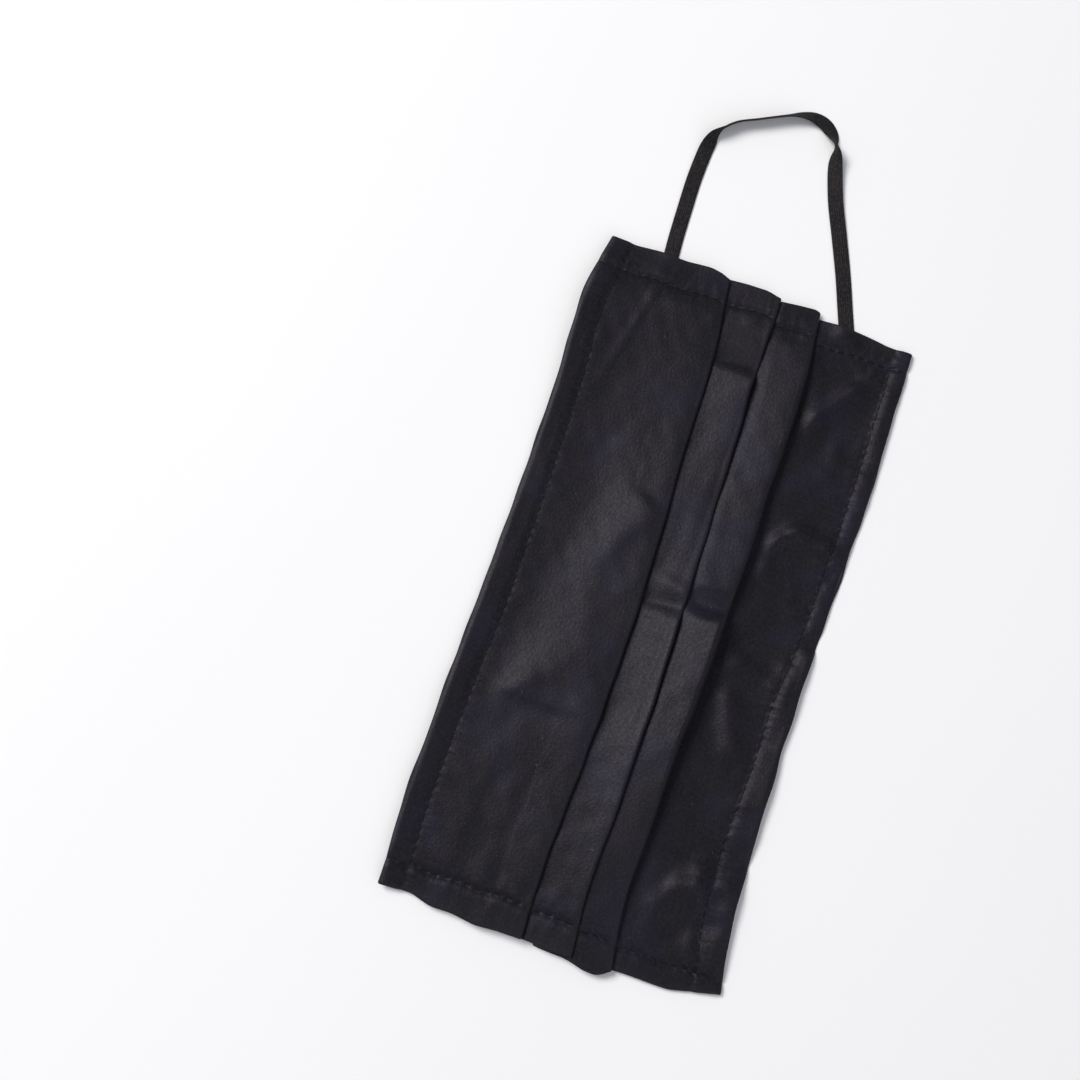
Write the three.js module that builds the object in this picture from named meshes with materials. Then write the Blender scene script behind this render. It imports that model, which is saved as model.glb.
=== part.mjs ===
// Pleated cloth face mask lying flat, outer face up: one turned-and-stitched
// cotton body with three knife pleats, and two flat elastic ear loops.
// Millimetres. +X runs along the mask to the end whose ear loop lies open,
// +Y to the nose edge, +Z up from the table. Origin: bottom centre of the body.
import * as THREE from 'three';

// ---------------------------------------------------------------- dimensions
const WALL = 1.0;            // two plies of cotton
const LAYER_GAP = 0.35;      // air between the folded layers of a pleat
const UNDERLAP = 10;         // how far each pleat runs back under the one above
const PITCH = WALL + LAYER_GAP;
const SECTIONS = 24;         // spans along the length

const BAND_WIDTH = 4.2;      // flat braided elastic
const BAND_THICK = 1.0;
const BAND_CHAMFER = 0.25;
const BAND_CLEAR = 0.3;      // from the band to the hem it is sewn into
const TABLE_CLEAR = 0.02;    // the bands lie this far above the table

// Where the long lines of the mask run. at: -1 far end, +1 near end. The others
// are the Y of the nose edge, of the three pleats' folded edges and of the chin.
const LINES = [
  { at: -1.0, nose: 44.75, fold1: 6.15, fold2: -7.45, fold3: -17.85, chin: -45.85 },
  { at: -0.8, nose: 45.75, fold1: 6.45, fold2: -6.15, fold3: -16.35, chin: -43.45 },
  { at: -0.5, nose: 45.55, fold1: 5.25, fold2: -6.95, fold3: -16.65, chin: -42.55 },
  { at:  0.0, nose: 44.75, fold1: 4.45, fold2: -6.85, fold3: -18.55, chin: -42.55 },
  { at:  0.5, nose: 44.45, fold1: 6.15, fold2: -6.15, fold3: -18.95, chin: -44.25 },
  { at:  0.8, nose: 45.65, fold1: 6.95, fold2: -5.55, fold3: -18.85, chin: -44.25 },
  { at:  1.0, nose: 43.05, fold1: 9.25, fold2: -5.65, fold3: -17.15, chin: -44.15 },
];

// X of the two short ends at each lengthwise line. back1..3 are the hidden
// inner folds of the pleats.
const ENDS = {
  nose:  { far: -89.55, near: 93.55 },
  fold1: { far: -91.55, near: 93.65 },
  back1: { far: -91.55, near: 92.95 },
  fold2: { far: -91.45, near: 92.25 },
  back2: { far: -92.55, near: 91.35 },
  fold3: { far: -93.65, near: 92.15 },
  back3: { far: -91.35, near: 90.05 },
  chin:  { far: -88.35, near: 88.65 },
};

// How the nose panel comes down from the pleats to the table: brow is the Y of
// its brow, foot the Y where it meets the table, high its height at the brow.
const BROW = [
  { at: -1.0, brow: 17, foot: 31, high: 2.6 },
  { at: -0.7, brow: 22, foot: 38, high: 3.0 },
  { at: -0.35, brow: 26, foot: 38, high: 3.9 },
  { at:  0.0, brow: 20, foot: 34, high: 3.9 },
  { at:  0.3, brow: 15, foot: 30, high: 4.2 },
  { at:  0.65, brow: 13, foot: 27, high: 4.0 },
  { at:  1.0, brow: 16, foot: 29, high: 2.7 },
];

// Extra lift of each pleat's folded edge half way along, where nothing holds it.
const SLACK = { fold1: 1.0, fold2: 0.7, fold3: 1.6 };

// Soft folds in the cloth: a raised line from (x1,y1) to (x2,y2).
const FOLDS = [
  { on: 'panel1', x1:  86, y1:  26, x2:  57, y2:  36, wide: 4.0, high: 0.7 },
  { on: 'strip1', x1:  60, y1:   8, x2:  60, y2:  -6, wide: 7.0, high: 0.5 },
  { on: 'strip1', x1:  -8, y1:   6, x2:  -8, y2:  -6, wide: 7.0, high: 0.6 },
  { on: 'strip2', x1:  -8, y1:  -6, x2:  -8, y2: -18, wide: 7.0, high: 0.6 },
  { on: 'panel4', x1: -80, y1: -21, x2: -62, y2: -35, wide: 5.0, high: 1.2 },
  { on: 'panel4', x1:  28, y1: -26, x2:  30, y2: -41, wide: 5.0, high: 0.8 },
];

const DOME = 1.2;                               // rise of the pleated middle
const TUCK = { high: 1.45, xFull: -39, xEnd: -27, yFull: 32, yEnd: 42 };  // over the tucked loop

// Open ear loop: its centre line on the table, and the turn of the flat band
// about that line. 0 lies flat, 90 stands on its inner edge.
const OPEN_LOOP = [
  { x:  93.95, y: 26.4, turn:   0 },
  { x: 100.8, y:  26.8, turn:   0 },
  { x: 109.4, y:  27.1, turn:   2 },
  { x: 117.2, y:  27.3, turn:   5 },
  { x: 123.6, y:  27.0, turn:  10 },
  { x: 129.3, y:  26.5, turn:  24 },
  { x: 133.1, y:  25.2, turn:  48 },
  { x: 136.0, y:  22.8, turn:  70 },
  { x: 138.0, y:  19.0, turn:  84 },
  { x: 139.7, y:  15.0, turn:  90 },
  { x: 141.9, y:  11.0, turn:  92 },
  { x: 144.0, y:   7.0, turn:  97 },
  { x: 145.2, y:   2.8, turn: 106 },
  { x: 145.0, y:  -1.0, turn: 113 },
  { x: 143.2, y:  -3.9, turn: 112 },
  { x: 140.3, y:  -6.1, turn: 102 },
  { x: 136.9, y:  -7.6, turn:  90 },
  { x: 131.4, y:  -9.0, turn:  72 },
  { x: 123.6, y: -11.8, turn:  52 },
  { x: 115.1, y: -15.5, turn:  34 },
  { x: 104.5, y: -19.9, turn:  14 },
  { x:  95.4, y: -23.3, turn:   3 },
  { x:  90.6, y: -25.1, turn:   0 },
];

// Tucked ear loop, flat under the far end of the body.
const TUCKED = { x: -89.5, yNose: 26.6, yChin: -24.2, leg: 24 };

// ------------------------------------------------------------------ helpers
const lerp = (a, b, t) => a + (b - a) * t;
const clamp01 = (t) => Math.min(1, Math.max(0, t));
const ease = (t) => { const c = clamp01(t); return c * c * (3 - 2 * c); };
// The higher of two heights, with their crossing rounded off over r; 0 stays 0.
const softMax = (a, b, r) => {
  const top = Math.max(a, b), k = Math.min(r, top);
  return k > 0 ? top + Math.max(0, k - Math.abs(a - b)) ** 2 / (4 * k) : top;
};

// Smooth curve through one column of a table.
function lineAt(name, s, table = LINES) {
  const n = table.length;
  let i = 0;
  while (i < n - 2 && s > table[i + 1].at) i += 1;
  const a = table[i], b = table[i + 1];
  const slope = (j) => {
    const p = table[Math.max(0, j - 1)], q = table[Math.min(n - 1, j + 1)];
    return (q[name] - p[name]) / (q.at - p.at);
  };
  const h = b.at - a.at, t = (s - a.at) / h;
  const t2 = t * t, t3 = t2 * t;
  return (2 * t3 - 3 * t2 + 1) * a[name] + (t3 - 2 * t2 + t) * h * slope(i)
    + (-2 * t3 + 3 * t2) * b[name] + (t3 - t2) * h * slope(i + 1);
}

function foldHeight(panel, x, y) {
  let z = 0;
  for (const f of FOLDS) {
    if (f.on !== panel) continue;
    const dx = f.x2 - f.x1, dy = f.y2 - f.y1;
    const t = clamp01(((x - f.x1) * dx + (y - f.y1) * dy) / (dx * dx + dy * dy));
    const d = Math.hypot(x - f.x1 - dx * t, y - f.y1 - dy * t);
    z = Math.max(z, f.high * Math.exp(-((d / f.wide) ** 2)));
  }
  return z;
}

// Height that every layer takes on: the tucked loop and the domed middle.
function ground(x, y, s) {
  const tuck = TUCK.high * (1 - ease((x - TUCK.xFull) / (TUCK.xEnd - TUCK.xFull)))
    * (1 - ease((Math.abs(y) - TUCK.yFull) / (TUCK.yEnd - TUCK.yFull)));
  const dome = DOME * (1 - s ** 4) * (1 - ease((Math.abs(y) - 8) / 22));
  return Math.max(tuck, dome);
}

// ------------------------------------------------------------- pleated body
// One cross-section, from the nose edge to the chin edge: the middle line of
// the wall as rows of { y, z, far, near }.
function middleLine(s) {
  const nose = lineAt('nose', s), chin = lineAt('chin', s);
  const f1 = lineAt('fold1', s), f2 = lineAt('fold2', s), f3 = lineAt('fold3', s);
  const b1 = f1 + UNDERLAP, b2 = f2 + UNDERLAP, b3 = f3 + UNDERLAP;
  const free = 1 - s ** 4;
  const low = WALL / 2;

  const xOf = (line, other, t) => lerp(
    lerp(ENDS[line].far, ENDS[other].far, t), lerp(ENDS[line].near, ENDS[other].near, t), (s + 1) / 2);
  const slackAt = (name, y, f) => SLACK[name] * free * ease(1 - (y - f) / UNDERLAP);

  // Heights of the layers without the ground, each resting on the one below.
  const panel4 = (x, y) => low + foldHeight('panel4', x, y);
  const strip2 = (x, y) => foldHeight('strip2', x, y) * ease((b2 - y) / UNDERLAP) + (y <= b3 ? low + 2 * PITCH + slackAt('fold3', y, f3)
    : low + 2 * PITCH * (1 - (y - b3) / (b2 - b3)));
  const back2 = (x, y) => strip2(x, y) + PITCH;
  const strip1 = (x, y) => foldHeight('strip1', x, y) * ease((b1 - y) / UNDERLAP)
    + (y <= b2 ? back2(x, y) + PITCH + slackAt('fold2', y, f2)
      : low + 2 * PITCH * (1 - (y - b2) / (b1 - b2)));
  const back1 = (x, y) => strip1(x, y) + PITCH;
  const brow = lineAt('brow', s, BROW), foot = lineAt('foot', s, BROW), high = lineAt('high', s, BROW);
  const panel1 = (x, y) => {
    const held = y <= b1 ? back1(x, y) + PITCH + slackAt('fold1', y, f1)
      : low + 2 * PITCH * (1 - ease((y - b1) / UNDERLAP));
    const puffed = low + (high - low) * (1 - ease((y - brow) / (foot - brow)));
    return low + softMax(held - low, puffed - low, 1.0) + foldHeight('panel1', x, y);
  };

  const rows = [];
  const put = (line, other, t, y, zOf) => {
    const x = xOf(line, other, t);
    rows.push({ y, z: zOf(x, y) + ground(x, y, s), x, line, other, t });
  };
  const run = (line, other, y0, y1, parts, zOf) => {
    for (let i = 0; i <= parts.length - 1; i += 1) {
      const t = parts[i];
      put(line, other, t, lerp(y0, y1, t), zOf);
    }
  };
  const turn = (line, side, y, zHigh, zLow) => {        // a half-round fold, side +1 or -1
    const x = xOf(line, line, 0);
    const g = ground(x, y, s);
    const mid = (zHigh + zLow) / 2, r = (zHigh - zLow) / 2;
    for (const a of [60, 120]) {
      const rad = THREE.MathUtils.degToRad(a);
      rows.push({ y: y + side * PITCH / 2 * Math.sin(rad), z: g + mid + r * Math.cos(rad), x, line, other: line, t: 0 });
    }
  };
  const h = PITCH / 2;
  const midTurn1 = f1 + h, midTurn2 = f2 + h, midTurn3 = f3 + h;
  const inTurn1 = b1 - h, inTurn2 = b2 - h, inTurn3 = b3 - h;
  const x1 = xOf('fold1', 'fold1', 0);

  run('nose', 'fold1', nose, midTurn1, [0, 0.12, 0.27, 0.42, 0.54, 0.64, 0.74, 0.88, 1], panel1);
  turn('fold1', -1, midTurn1, panel1(x1, midTurn1), back1(x1, midTurn1));
  run('fold1', 'back1', midTurn1, inTurn1, [0, 0.5, 1], back1);
  turn('back1', 1, inTurn1, back1(x1, inTurn1), strip1(x1, inTurn1));
  run('back1', 'fold2', inTurn1, midTurn2, [0, 0.25, 0.5, 0.75, 1], strip1);
  turn('fold2', -1, midTurn2, strip1(x1, midTurn2), back2(x1, midTurn2));
  run('fold2', 'back2', midTurn2, inTurn2, [0, 0.5, 1], back2);
  turn('back2', 1, inTurn2, back2(x1, inTurn2), strip2(x1, inTurn2));
  run('back2', 'fold3', inTurn2, midTurn3, [0, 0.25, 0.5, 0.75, 1], strip2);
  turn('fold3', -1, midTurn3, strip2(x1, midTurn3), low + PITCH);
  run('fold3', 'back3', midTurn3, inTurn3, [0, 0.5, 1], () => low + PITCH);
  turn('back3', 1, inTurn3, low + PITCH, low);
  run('back3', 'chin', inTurn3, chin, [0, 0.25, 0.45, 0.63, 0.8, 1], panel4);
  return rows;
}

// Closed outline of the wall round that middle line.
function outline(s) {
  const mid = middleLine(s);
  const n = mid.length;
  const upper = [], lower = [];
  for (let i = 0; i < n; i += 1) {
    const a = mid[Math.max(0, i - 1)], b = mid[Math.min(n - 1, i + 1)];
    const ty = b.y - a.y, tz = b.z - a.z, len = Math.hypot(ty, tz);
    const ny = tz / len, nz = -ty / len;              // up where the line runs to -Y
    const p = mid[i];
    upper.push(new THREE.Vector3(p.x, p.y + ny * WALL / 2, p.z + nz * WALL / 2));
    lower.push(new THREE.Vector3(p.x, p.y - ny * WALL / 2, p.z - nz * WALL / 2));
  }
  return upper.concat(lower.reverse());
}

// Skin a row of equal rings and close both ends.
function loft(rings, capShape) {
  const m = rings[0].length;
  const position = [], index = [];
  for (const ring of rings) for (const p of ring) position.push(p.x, p.y, p.z);
  for (let i = 0; i + 1 < rings.length; i += 1) {
    for (let j = 0; j < m; j += 1) {
      const k = (j + 1) % m;
      const a = i * m + j, b = i * m + k, c = (i + 1) * m + j, d = (i + 1) * m + k;
      index.push(a, c, b, b, c, d);
    }
  }
  const caps = THREE.ShapeUtils.triangulateShape(capShape(rings[0]), []);
  const end = (rings.length - 1) * m;
  const capsEnd = THREE.ShapeUtils.triangulateShape(capShape(rings[rings.length - 1]), []);
  for (const [a, b, c] of caps) index.push(a, b, c);
  for (const [a, b, c] of capsEnd) index.push(end + a, end + c, end + b);
  const g = new THREE.BufferGeometry();
  g.setAttribute('position', new THREE.Float32BufferAttribute(position, 3));
  g.setIndex(index);
  // Turn every face outward if the rings ran the other way round.
  if (signedVolume(g) < 0) {
    for (let i = 0; i < index.length; i += 3) [index[i + 1], index[i + 2]] = [index[i + 2], index[i + 1]];
    g.setIndex(index);
  }
  g.computeVertexNormals();
  return g;
}

function signedVolume(g) {
  const p = g.attributes.position, ix = g.index;
  const a = new THREE.Vector3(), b = new THREE.Vector3(), c = new THREE.Vector3();
  let v = 0;
  for (let i = 0; i < ix.count; i += 3) {
    a.fromBufferAttribute(p, ix.getX(i));
    b.fromBufferAttribute(p, ix.getX(i + 1));
    c.fromBufferAttribute(p, ix.getX(i + 2));
    v += a.dot(b.cross(c)) / 6;
  }
  return v;
}

function bodyGeometry() {
  const rings = [];
  for (let i = 0; i <= SECTIONS; i += 1) {
    const t = i / SECTIONS;
    rings.push(outline(Math.sin((t - 0.5) * Math.PI * 0.86) / Math.sin(0.43 * Math.PI)));
  }
  return loft(rings, (ring) => ring.map((p) => new THREE.Vector2(p.y, p.z)));
}

// ---------------------------------------------------------------- ear loops
const BAND = (() => {
  const w = BAND_WIDTH / 2, h = BAND_THICK / 2, c = BAND_CHAMFER;
  return [[w, h - c], [w - c, h], [c - w, h], [-w, h - c], [-w, c - h], [c - w, -h], [w - c, -h], [w, c - h]]
    .map(([u, v]) => new THREE.Vector2(u, v));
})();

// Sweep the flat band along a table route; it rests on the table at any turn.
function bandGeometry(route, steps) {
  const rest = (deg) => {
    const a = THREE.MathUtils.degToRad(deg);
    return TABLE_CLEAR + Math.abs(Math.sin(a)) * BAND_WIDTH / 2 + Math.abs(Math.cos(a)) * BAND_THICK / 2;
  };
  // The turn rides along the route as a second curve at the same parameter.
  const path = new THREE.CatmullRomCurve3(route.map((r) => new THREE.Vector3(r.x, r.y, 0)), false, 'centripetal');
  const turns = new THREE.CatmullRomCurve3(route.map((r, i) => new THREE.Vector3(i, r.turn / 20, 0)), false, 'centripetal');
  const rings = [];
  for (let i = 0; i <= steps; i += 1) {
    const t = i / steps;
    const turn = turns.getPoint(t).y * 20;
    const p = path.getPoint(t), tan = path.getTangent(t);
    const side = new THREE.Vector3(-tan.y, tan.x, 0).normalize();
    const up = new THREE.Vector3(0, 0, 1);
    const a = THREE.MathUtils.degToRad(turn);
    const wide = side.clone().multiplyScalar(Math.cos(a)).addScaledVector(up, Math.sin(a));
    const thick = side.clone().multiplyScalar(-Math.sin(a)).addScaledVector(up, Math.cos(a));
    p.z = rest(turn);
    rings.push(BAND.map((q) => p.clone().addScaledVector(wide, q.x).addScaledVector(thick, q.y)));
  }
  return loft(rings, () => BAND);
}

function tuckedRoute() {
  const { x, yNose, yChin, leg } = TUCKED;
  const mid = (yNose + yChin) / 2, r = (yNose - yChin) / 2;
  const route = [0, 0.5].map((t) => ({ x: x + leg * t, y: yNose, turn: 0 }));
  for (let i = 0; i <= 12; i += 1) {
    const a = Math.PI * (0.5 - i / 12);
    route.push({ x: x + leg + r * Math.cos(a), y: mid + r * Math.sin(a), turn: 0 });
  }
  for (const t of [0.5, 0]) route.push({ x: x + leg * t, y: yChin, turn: 0 });
  return route;
}

// ----------------------------------------------------------------- assembly
const cotton = new THREE.MeshStandardMaterial({ color: 0x232328, roughness: 0.95, metalness: 0 });
const elastic = new THREE.MeshStandardMaterial({ color: 0x29292a, roughness: 0.8, metalness: 0 });

const mask = new THREE.Group();
const add = (name, geometry, material) => {
  const m = new THREE.Mesh(geometry, material);
  m.name = name;
  mask.add(m);
};
add('mask_body', bodyGeometry(), cotton);
add('ear_loop_near', bandGeometry(OPEN_LOOP, 52), elastic);
add('ear_loop_far', bandGeometry(tuckedRoute(), 40), elastic);

export default mask;
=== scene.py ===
# Pleated cotton face mask lying flat on a pale table, outer face up.
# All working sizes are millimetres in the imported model's frame; meshes are made in metres.
import math
import bpy
import numpy as np
from mathutils import Matrix, Vector
from mathutils.bvhtree import BVHTree


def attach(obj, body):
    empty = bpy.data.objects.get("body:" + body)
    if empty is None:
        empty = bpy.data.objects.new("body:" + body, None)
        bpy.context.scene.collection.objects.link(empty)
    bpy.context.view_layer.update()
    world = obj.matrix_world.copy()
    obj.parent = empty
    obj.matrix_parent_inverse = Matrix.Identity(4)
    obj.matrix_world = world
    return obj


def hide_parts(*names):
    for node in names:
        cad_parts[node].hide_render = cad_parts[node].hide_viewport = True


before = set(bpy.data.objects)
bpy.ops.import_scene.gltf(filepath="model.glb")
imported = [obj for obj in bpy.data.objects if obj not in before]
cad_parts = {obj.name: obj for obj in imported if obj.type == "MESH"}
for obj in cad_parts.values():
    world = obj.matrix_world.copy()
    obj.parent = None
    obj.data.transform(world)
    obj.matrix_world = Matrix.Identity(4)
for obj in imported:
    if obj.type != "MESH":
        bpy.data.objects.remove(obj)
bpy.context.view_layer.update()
MM = 0.001
scene = bpy.context.scene


# ------------------------------------------------------------------ camera
def look(eye, target, up, lens):
    data = bpy.data.cameras.new("camera")
    data.lens = lens
    data.sensor_width = 36.0
    data.clip_start = 0.01
    data.clip_end = 20.0
    cam = bpy.data.objects.new("camera", data)
    scene.collection.objects.link(cam)
    e, t = Vector(eye) * MM, Vector(target) * MM
    f = (t - e).normalized()
    r = f.cross(Vector(up)).normalized()
    u = r.cross(f)
    m = Matrix((r, u, -f)).transposed().to_4x4()
    m.translation = e
    cam.matrix_world = m
    scene.camera = cam
    return cam


look(eye=(-65.85, 9.55, 443.2), target=(8.09, 34.87, 0.0), up=(0.9462, 0.3236, 0.0), lens=56.25)


# ------------------------------------------------------------------ tables
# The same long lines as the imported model. at: -1 far end, +1 near end.
LINES = dict(
    at=[-1.0, -0.8, -0.5, 0.0, 0.5, 0.8, 1.0],
    nose=[44.75, 45.75, 45.55, 44.75, 44.45, 45.65, 43.05],
    fold1=[6.15, 6.45, 5.25, 4.45, 6.15, 6.95, 9.25],
    fold2=[-7.45, -6.15, -6.95, -6.85, -6.15, -5.55, -5.65],
    fold3=[-17.85, -16.35, -16.65, -18.55, -18.95, -18.85, -17.15],
    chin=[-45.85, -43.65, -42.90, -42.95, -44.35, -44.25, -44.15],
)
ENDS = dict(
    nose=(-89.55, 93.55), fold1=(-91.0, 91.9), back1=(-90.8, 91.8), fold2=(-90.9, 91.2),
    back2=(-91.0, 90.8), fold3=(-91.0, 90.5), back3=(-90.7, 89.2), chin=(-88.35, 88.65),
)
# How the nose panel comes down to the table, by place along the mask. lin is an
# even fall from the first pleat to the nose edge. The brow is a steeper fall of
# height brow round the line y = brow_y, half_w either side; swell is another, lower.
NOSE_PANEL = dict(
    x=[-93, -80, -64, -46, -39, -36, -33, -28, -24, -16, -8, 0, 6, 14, 20, 24.5, 28.5, 38, 54, 60, 70, 80, 86, 93],
    stand=[0.4, 0.8, 0.9, 0.9, 0.8, 0.6, 0.5, 0.4, 0.3, 0.3, 0.3, 0.3, 0.3, 0.3, 0.3, 0.3, 0.4, 0.8, 1.5, 2.1, 2.6, 2.6, 2.0, 0.9],
    lin=[0.4, 0.5, 0.5, 0.4, 0.4, 0.5, 0.8, 0.9, 1.0, 1.1, 1.0, 0.9, 0.9, 0.8, 0.9, 0.9, 0.5, 0.3, 0.2, 0.2, 0.2, 0.2, 0.2, 0.2],
    brow=[0.0, 0.0, 0.0, 0.0, 0.0, 0.5, 1.5, 1.9, 2.0, 1.9, 1.6, 1.6, 1.8, 2.0, 2.3, 2.4, 1.0, 0.8, 0.5, 0.2, 0.0, 0.0, 0.0, 0.0],
    brow_y=[33, 33, 33, 33, 33, 33, 32, 29, 27, 24.5, 24, 24, 23.5, 20.5, 17.5, 16.5, 21, 21, 21, 20, 20, 20, 20, 20],
    half_w=[4, 4, 4, 4, 4, 4, 4.5, 6, 8, 9.5, 8.5, 8, 7, 6.5, 8.5, 9.0, 4.5, 5, 5.5, 6, 6, 6, 6, 6],
    reach=[13, 13, 13, 13, 13, 13, 13, 13, 13, 13, 13, 13, 13, 13, 13, 13, 12, 12, 13, 16, 20, 20, 20, 20],
    swell=[0.1, 0.6, 1.3, 1.7, 1.8, 1.6, 1.1, 0.8, 0.5, 0.4, 0.3, 0.2, 0.1, 0.3, 0.4, 0.4, 0.2, 0.1, 0.1, 0.0, 0.0, 0.0, 0.0, 0.0],
)
# How far the folded edge of each pleat stands off, and how far the whole stack of
# pleats is raised on the slack of the cloth under it.
PLEATS = dict(
    x=[-93, -88, -80, -64, -48, -30, -8, -2.2, 0.6, 2.2, 4.6, 7, 12, 24, 28, 36, 46, 54, 65, 67.6, 70, 76, 83, 88, 93],
    fold1=[0.0, 0.1, 0.3, 0.6, 0.6, 0.7, 0.8, 0.8, 0.8, 0.8, 0.8, 0.8, 0.8, 0.7, 0.6, 0.6, 0.6, 0.6, 0.5, 0.5, 0.5, 0.4, 0.2, 0.1, 0.0],
    fold2=[0.0, 0.1, 0.3, 0.4, 0.45, 0.65, 1.0, 1.1, 0.1, 0.1, 0.6, 0.8, 0.4, 0.3, 0.4, 0.8, 1.0, 1.5, 2.2, 2.2, 0.0, 0.5, 0.5, 0.1, 0.0],
    fold3=[0.0, 0.1, 0.5, 1.2, 2.2, 3.4, 4.2, 4.4, 4.6, 4.6, 1.1, 1.3, 1.9, 2.3, 2.3, 2.7, 3.0, 3.1, 2.9, 2.8, 2.7, 2.4, 1.2, 0.8, 0.1],
    raised=[0.0, 0.1, 0.2, 0.5, 0.8, 1.2, 1.3, 1.3, 1.3, 1.3, 1.2, 1.2, 1.2, 1.2, 0.7, 0.4, 0.3, 0.2, 0.2, 0.2, 0.2, 0.1, 0.0, 0.0, 0.0],
    higher=[0.0, 0.1, 0.1, 0.2, 0.3, 0.4, 0.4, 0.4, 0.4, 0.4, 0.4, 0.4, 0.5, 0.6, 0.4, 0.2, 0.1, 0.1, 0.1, 0.1, 0.1, 0.1, 0.0, 0.0, 0.0],
    deeper=[0.0, 0.0, 0.0, 0.0, 0.0, 0.0, 0.0, 0.0, 0.0, 0.0, 0.0, 0.0, 0.0, 0.0, 0.0, 0.0, 0.5, 2.0, 5.0, 5.5, 6.0, 6.0, 6.0, 6.0, 6.0],
    roll=[0.1, 0.1, 0.2, 0.2, 0.2, 0.2, 0.1, 0.1, 0.2, 0.2, 0.3, 0.4, 0.5, 0.7, 0.8, 0.85, 0.9, 0.9, 0.6, 0.5, 0.3, 0.3, 0.2, 0.1, 0.1],
)
CLOTH = 0.54
TUCK = dict(high=0.72, x_full=-38.0, x_end=-24.0, y_full=29.0, y_end=53.0)
# How far the sewn long edges stand up from (or hang below) the seam beside them.
CURL = dict(
    x=[-93, -85, -78, -72, -64, -59, -54, -48, -40, -24, -8, 0.5, 3.5, 6, 14, 22, 30, 38, 46, 54, 62, 70, 78, 84, 93],
    chin=[0.3, 0.7, 1.2, 1.2, 1.0, 0.1, 0.7, 1.3, 1.6, 1.6, 1.7, 1.8, 0.1, 0.4, 0.8, 0.5, 0.5, 0.7, 1.4, 1.1, 1.2, 1.6, 1.1, 1.1, 0.5],
    nose=[1.3, 1.3, 1.3, 1.3, 1.3, 1.3, 1.3, 1.3, 1.3, 1.1, 0.7, 0.6, 0.8, 0.8, 0.6, 0.5, 0.5, 0.6, 0.7, 0.8, 0.9, 0.9, 0.7, 0.6, 0.6],
)
DOME = 0.15
# Height at which the first pleat's inner fold stays clear of the table.
HOVER = 0.45
# X of the seam that holds each panel's hem, at both ends.
HEM_X = dict(panel1=(-83.2, 85.9), strip1=(-83.8, 86.2), strip2=(-84.8, 84.7), panel4=(-85.3, 83.4))
# X of each panel's sewn end, by place across the mask.
EDGE_FAR = dict(
    panel1=[(45, -89.7), (41, -89.9), (36, -89.6), (30.5, -91.0), (24.6, -91.0), (18.3, -91.9), (12.5, -91.4), (6.2, -91.5)],
    strip1=[(6, -91.4), (0, -91.5), (-6.8, -91.2)],
    strip2=[(-5, -92.0), (-8, -92.6), (-11, -93.5), (-14.5, -93.7), (-16.5, -92.9), (-18.0, -91.6)],
    panel4=[(-16, -91.3), (-25, -91.1), (-33.5, -90.9), (-40, -89.4), (-43.5, -88.6), (-46, -88.0)],
)
EDGE_NEAR = dict(
    panel1=[(43, 94.0), (35.5, 93.6), (29, 94.1), (21, 93.7), (14.6, 94.0), (11.5, 93.4), (8.8, 92.2)],
    strip1=[(8.8, 92.7), (3.7, 93.0), (-1.8, 92.8), (-5.5, 91.8)],
    strip2=[(-5.5, 91.3), (-11.3, 91.7), (-16.0, 92.0), (-17.6, 91.2)],
    panel4=[(-17.5, 90.0), (-23.5, 90.1), (-30.0, 89.8), (-37.0, 88.8), (-44.2, 88.5)],
)
# Distance of the seams from the long edges.
SEAM = dict(
    at=[-1.0, -0.6, -0.35, -0.15, 0.0, 0.4, 1.0],
    nose=[5.9, 6.1, 6.3, 7.0, 6.8, 6.3, 6.2],
    chin=[7.0, 7.2, 6.2, 5.8, 4.5, 4.4, 4.4],
)


def ease(t):
    c = np.clip(t, 0.0, 1.0)
    return c * c * (3 - 2 * c)


def column(table, name, s):
    """Smooth curve through one column of a table, at the places s."""
    at, v = np.asarray(table["at"], float), np.asarray(table[name], float)
    m = np.empty_like(v)
    m[1:-1] = (v[2:] - v[:-2]) / (at[2:] - at[:-2])
    m[0], m[-1] = (v[1] - v[0]) / (at[1] - at[0]), (v[-1] - v[-2]) / (at[-1] - at[-2])
    s = np.asarray(s, float)
    i = np.clip(np.searchsorted(at, s, side="right") - 1, 0, len(at) - 2)
    h = at[i + 1] - at[i]
    t = (s - at[i]) / h
    return ((2 * t**3 - 3 * t**2 + 1) * v[i] + (t**3 - 2 * t**2 + t) * h * m[i]
            + (-2 * t**3 + 3 * t**2) * v[i + 1] + (t**3 - t**2) * h * m[i + 1])


FINE = np.arange(-110.0, 110.01, 0.1)
BELL = np.exp(-((np.arange(-40, 41) * 0.1 / 1.0) ** 2))
BELL /= BELL.sum()


def along(table, name, x):
    """One column of a table by X, its corners rounded over a millimetre or so."""
    v = np.interp(FINE, table["x"], table[name])
    pad = len(BELL) // 2
    v = np.convolve(np.pad(v, pad, mode="edge"), BELL, mode="valid")
    return np.interp(x, FINE, v)


def edge_x(rows, y):
    """X of a sewn end at y, corners rounded."""
    ys, xs = [r[0] for r in rows][::-1], [r[1] for r in rows][::-1]
    fine = np.arange(-60.0, 60.01, 0.1)
    v = np.interp(fine, ys, xs)
    bell = np.exp(-((np.arange(-30, 31) * 0.1 / 0.8) ** 2))
    bell /= bell.sum()
    v = np.convolve(np.pad(v, 30, mode="edge"), bell, mode="valid")
    return np.interp(y, fine, v)


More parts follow.
